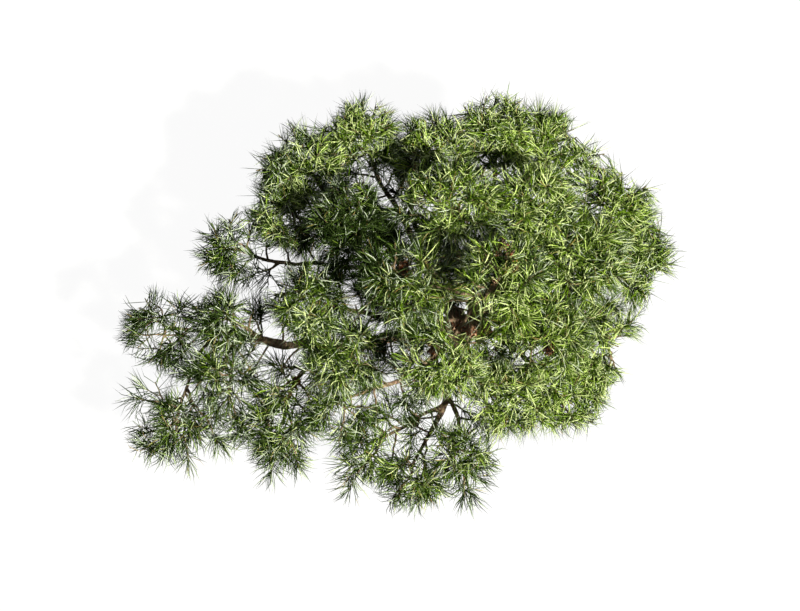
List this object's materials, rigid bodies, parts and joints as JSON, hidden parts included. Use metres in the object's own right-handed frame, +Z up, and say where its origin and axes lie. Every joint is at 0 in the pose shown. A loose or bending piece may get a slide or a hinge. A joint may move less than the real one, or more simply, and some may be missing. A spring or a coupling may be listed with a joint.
{
  "type": "japanese white pine",
  "caption": "Small five-needle pine with a leaning, flared trunk, long level boughs and pads of blue-green needles, one bough reaching far to the left.",
  "frame": {"origin": "middle of the flat cut under the trunk, at ground level", "axes": "+Z up; +X away from the longest bough, along the crown's greatest width; the trunk leans towards +X and +Y"},
  "size_m": [0.9788, 0.7427, 0.7079],
  "materials": {
    "trunk_bark": "rough scaly bark",
    "bough_bark": "rough thin bark",
    "needles": "satin needles with paler inner sides"
  },
  "bodies": {
    "root": {"bough_back": "bough_bark", "bough_back_left": "bough_bark", "bough_back_mid": "bough_bark", "bough_back_right": "bough_bark", "bough_front": "bough_bark", "bough_front_left": "bough_bark", "bough_front_low": "bough_bark", "bough_front_right": "bough_bark", "bough_inner_back": "bough_bark", "bough_inner_front": "bough_bark", "bough_inner_left": "bough_bark", "bough_left_back": "bough_bark", "bough_left_back_top": "bough_bark", "bough_left_front": "bough_bark", "bough_left_low": "bough_bark", "bough_left_mid": "bough_bark", "bough_left_outer": "bough_bark", "bough_left_tip": "bough_bark", "bough_left_upper": "bough_bark", "bough_right": "bough_bark", "bough_right_back": "bough_bark", "bough_right_front": "bough_bark", "bough_right_front_inner": "bough_bark", "bough_right_low": "bough_bark", "bough_upper_back": "bough_bark", "bough_upper_right": "bough_bark", "bough_upper_right_back": "bough_bark", "bough_upper_right_front": "bough_bark", "foliage_back": "needles", "foliage_back_left": "needles", "foliage_back_mid": "needles", "foliage_back_right": "needles", "foliage_front": "needles", "foliage_front_left": "needles", "foliage_front_low": "needles", "foliage_front_right": "needles", "foliage_inner_back": "needles", "foliage_inner_front": "needles", "foliage_inner_left": "needles", "foliage_left_back": "needles", "foliage_left_back_top": "needles", "foliage_left_front": "needles", "foliage_left_low": "needles", "foliage_left_mid": "needles", "foliage_left_outer": "needles", "foliage_left_tip": "needles", "foliage_left_upper": "needles", "foliage_right": "needles", "foliage_right_back": "needles", "foliage_right_front": "needles", "foliage_right_front_inner": "needles", "foliage_right_low": "needles", "foliage_top": "needles", "foliage_upper_back": "needles", "foliage_upper_front": "needles", "foliage_upper_left": "needles", "foliage_upper_right": "needles", "foliage_upper_right_back": "needles", "foliage_upper_right_front": "needles", "trunk": "trunk_bark"}
  },
  "joints": []
}
